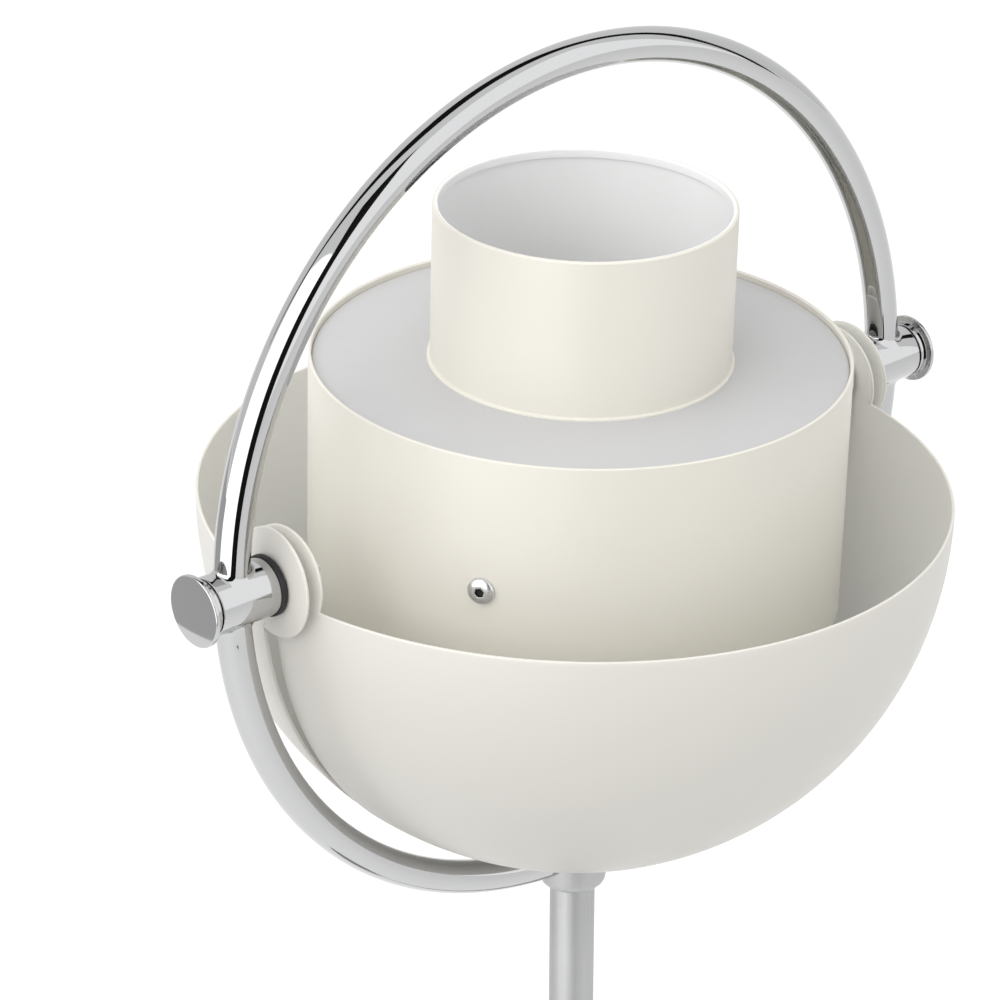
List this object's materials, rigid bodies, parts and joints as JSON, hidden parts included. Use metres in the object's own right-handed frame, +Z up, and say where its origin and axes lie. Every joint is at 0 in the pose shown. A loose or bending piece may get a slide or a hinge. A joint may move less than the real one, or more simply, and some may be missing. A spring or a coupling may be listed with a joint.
{
  "type": "floor lamp",
  "caption": "Floor lamp with a round base, straight stem and chromed hoop that holds a cylindrical lamp head and turning quarter-sphere shades on one axle.",
  "frame": {"origin": "centre of the base's underside, on the floor", "axes": "+Z up, X along the head's axle, -Y towards the front"},
  "size_m": [0.3402, 0.27, 1.48],
  "materials": {
    "lacquer": "semi-matt off-white lacquer",
    "chrome": "polished",
    "satin_steel": "satin",
    "zinc_steel": "zinc plated",
    "black_rubber": "matt",
    "cast_iron": "as cast, painted dark",
    "white_plastic": "moulded",
    "brass": "plain"
  },
  "bodies": {
    "stand": {"base_pad": "black_rubber", "base_weight": "cast_iron", "base_cover": "satin_steel", "cord_gland": "black_rubber", "foot_collar": "satin_steel", "stem_washer": "zinc_steel", "stem_nut": "zinc_steel", "stem_lower": "satin_steel", "stem_coupler": "satin_steel", "stem_upper": "satin_steel", "hoop_collar": "satin_steel", "hoop_upper": "chrome", "hoop_lower_left": "chrome", "hoop_lower_right": "chrome", "pivot_boss_left": "chrome", "pivot_boss_right": "chrome", "end_cap_left": "chrome", "end_cap_right": "chrome", "friction_washer_left": "black_rubber", "friction_washer_right": "black_rubber"},
    "head": {"axle_left": "zinc_steel", "axle_right": "zinc_steel", "axle_end_nuts": "zinc_steel", "ear_spacers": "zinc_steel", "ear_washers": "zinc_steel", "ear_lock_nuts": "zinc_steel", "drum": "lacquer", "top_plate": "lacquer", "bottom_plate": "lacquer", "upper_cylinder": "lacquer", "lower_cylinder": "lacquer", "cradle_arm_left": "lacquer", "cradle_arm_right": "lacquer", "arm_spacers": "zinc_steel", "arm_screws": "zinc_steel", "arm_nuts": "zinc_steel", "lead_grommet": "black_rubber", "lamp_spider": "zinc_steel", "spider_screws": "zinc_steel", "spider_nuts": "zinc_steel", "holder_nipple": "zinc_steel", "nipple_nuts": "zinc_steel", "lampholder_up": "white_plastic", "lampholder_down": "white_plastic", "socket_shell_up": "brass", "socket_shell_down": "brass", "terminal_block": "white_plastic", "block_screw": "zinc_steel"},
    "front_shade": {"front_shell": "lacquer", "front_shell_bushes": "white_plastic"},
    "rear_shade": {"rear_shell": "lacquer", "rear_shell_bushes": "white_plastic"}
  },
  "joints": [
    {"name": "head_tilt", "type": "hinge", "parent": "stand", "child": "head", "pos_m": [0, 0, 1.32], "axis": [1, 0, 0], "range_deg": [-90, 90]},
    {"name": "front_shade_swing", "type": "hinge", "parent": "head", "child": "front_shade", "pos_m": [0, 0, 1.32], "axis": [-1, 0, 0], "range_deg": [0, 180]},
    {"name": "rear_shade_swing", "type": "hinge", "parent": "head", "child": "rear_shade", "pos_m": [0, 0, 1.32], "axis": [1, 0, 0], "range_deg": [0, 180]}
  ]
}
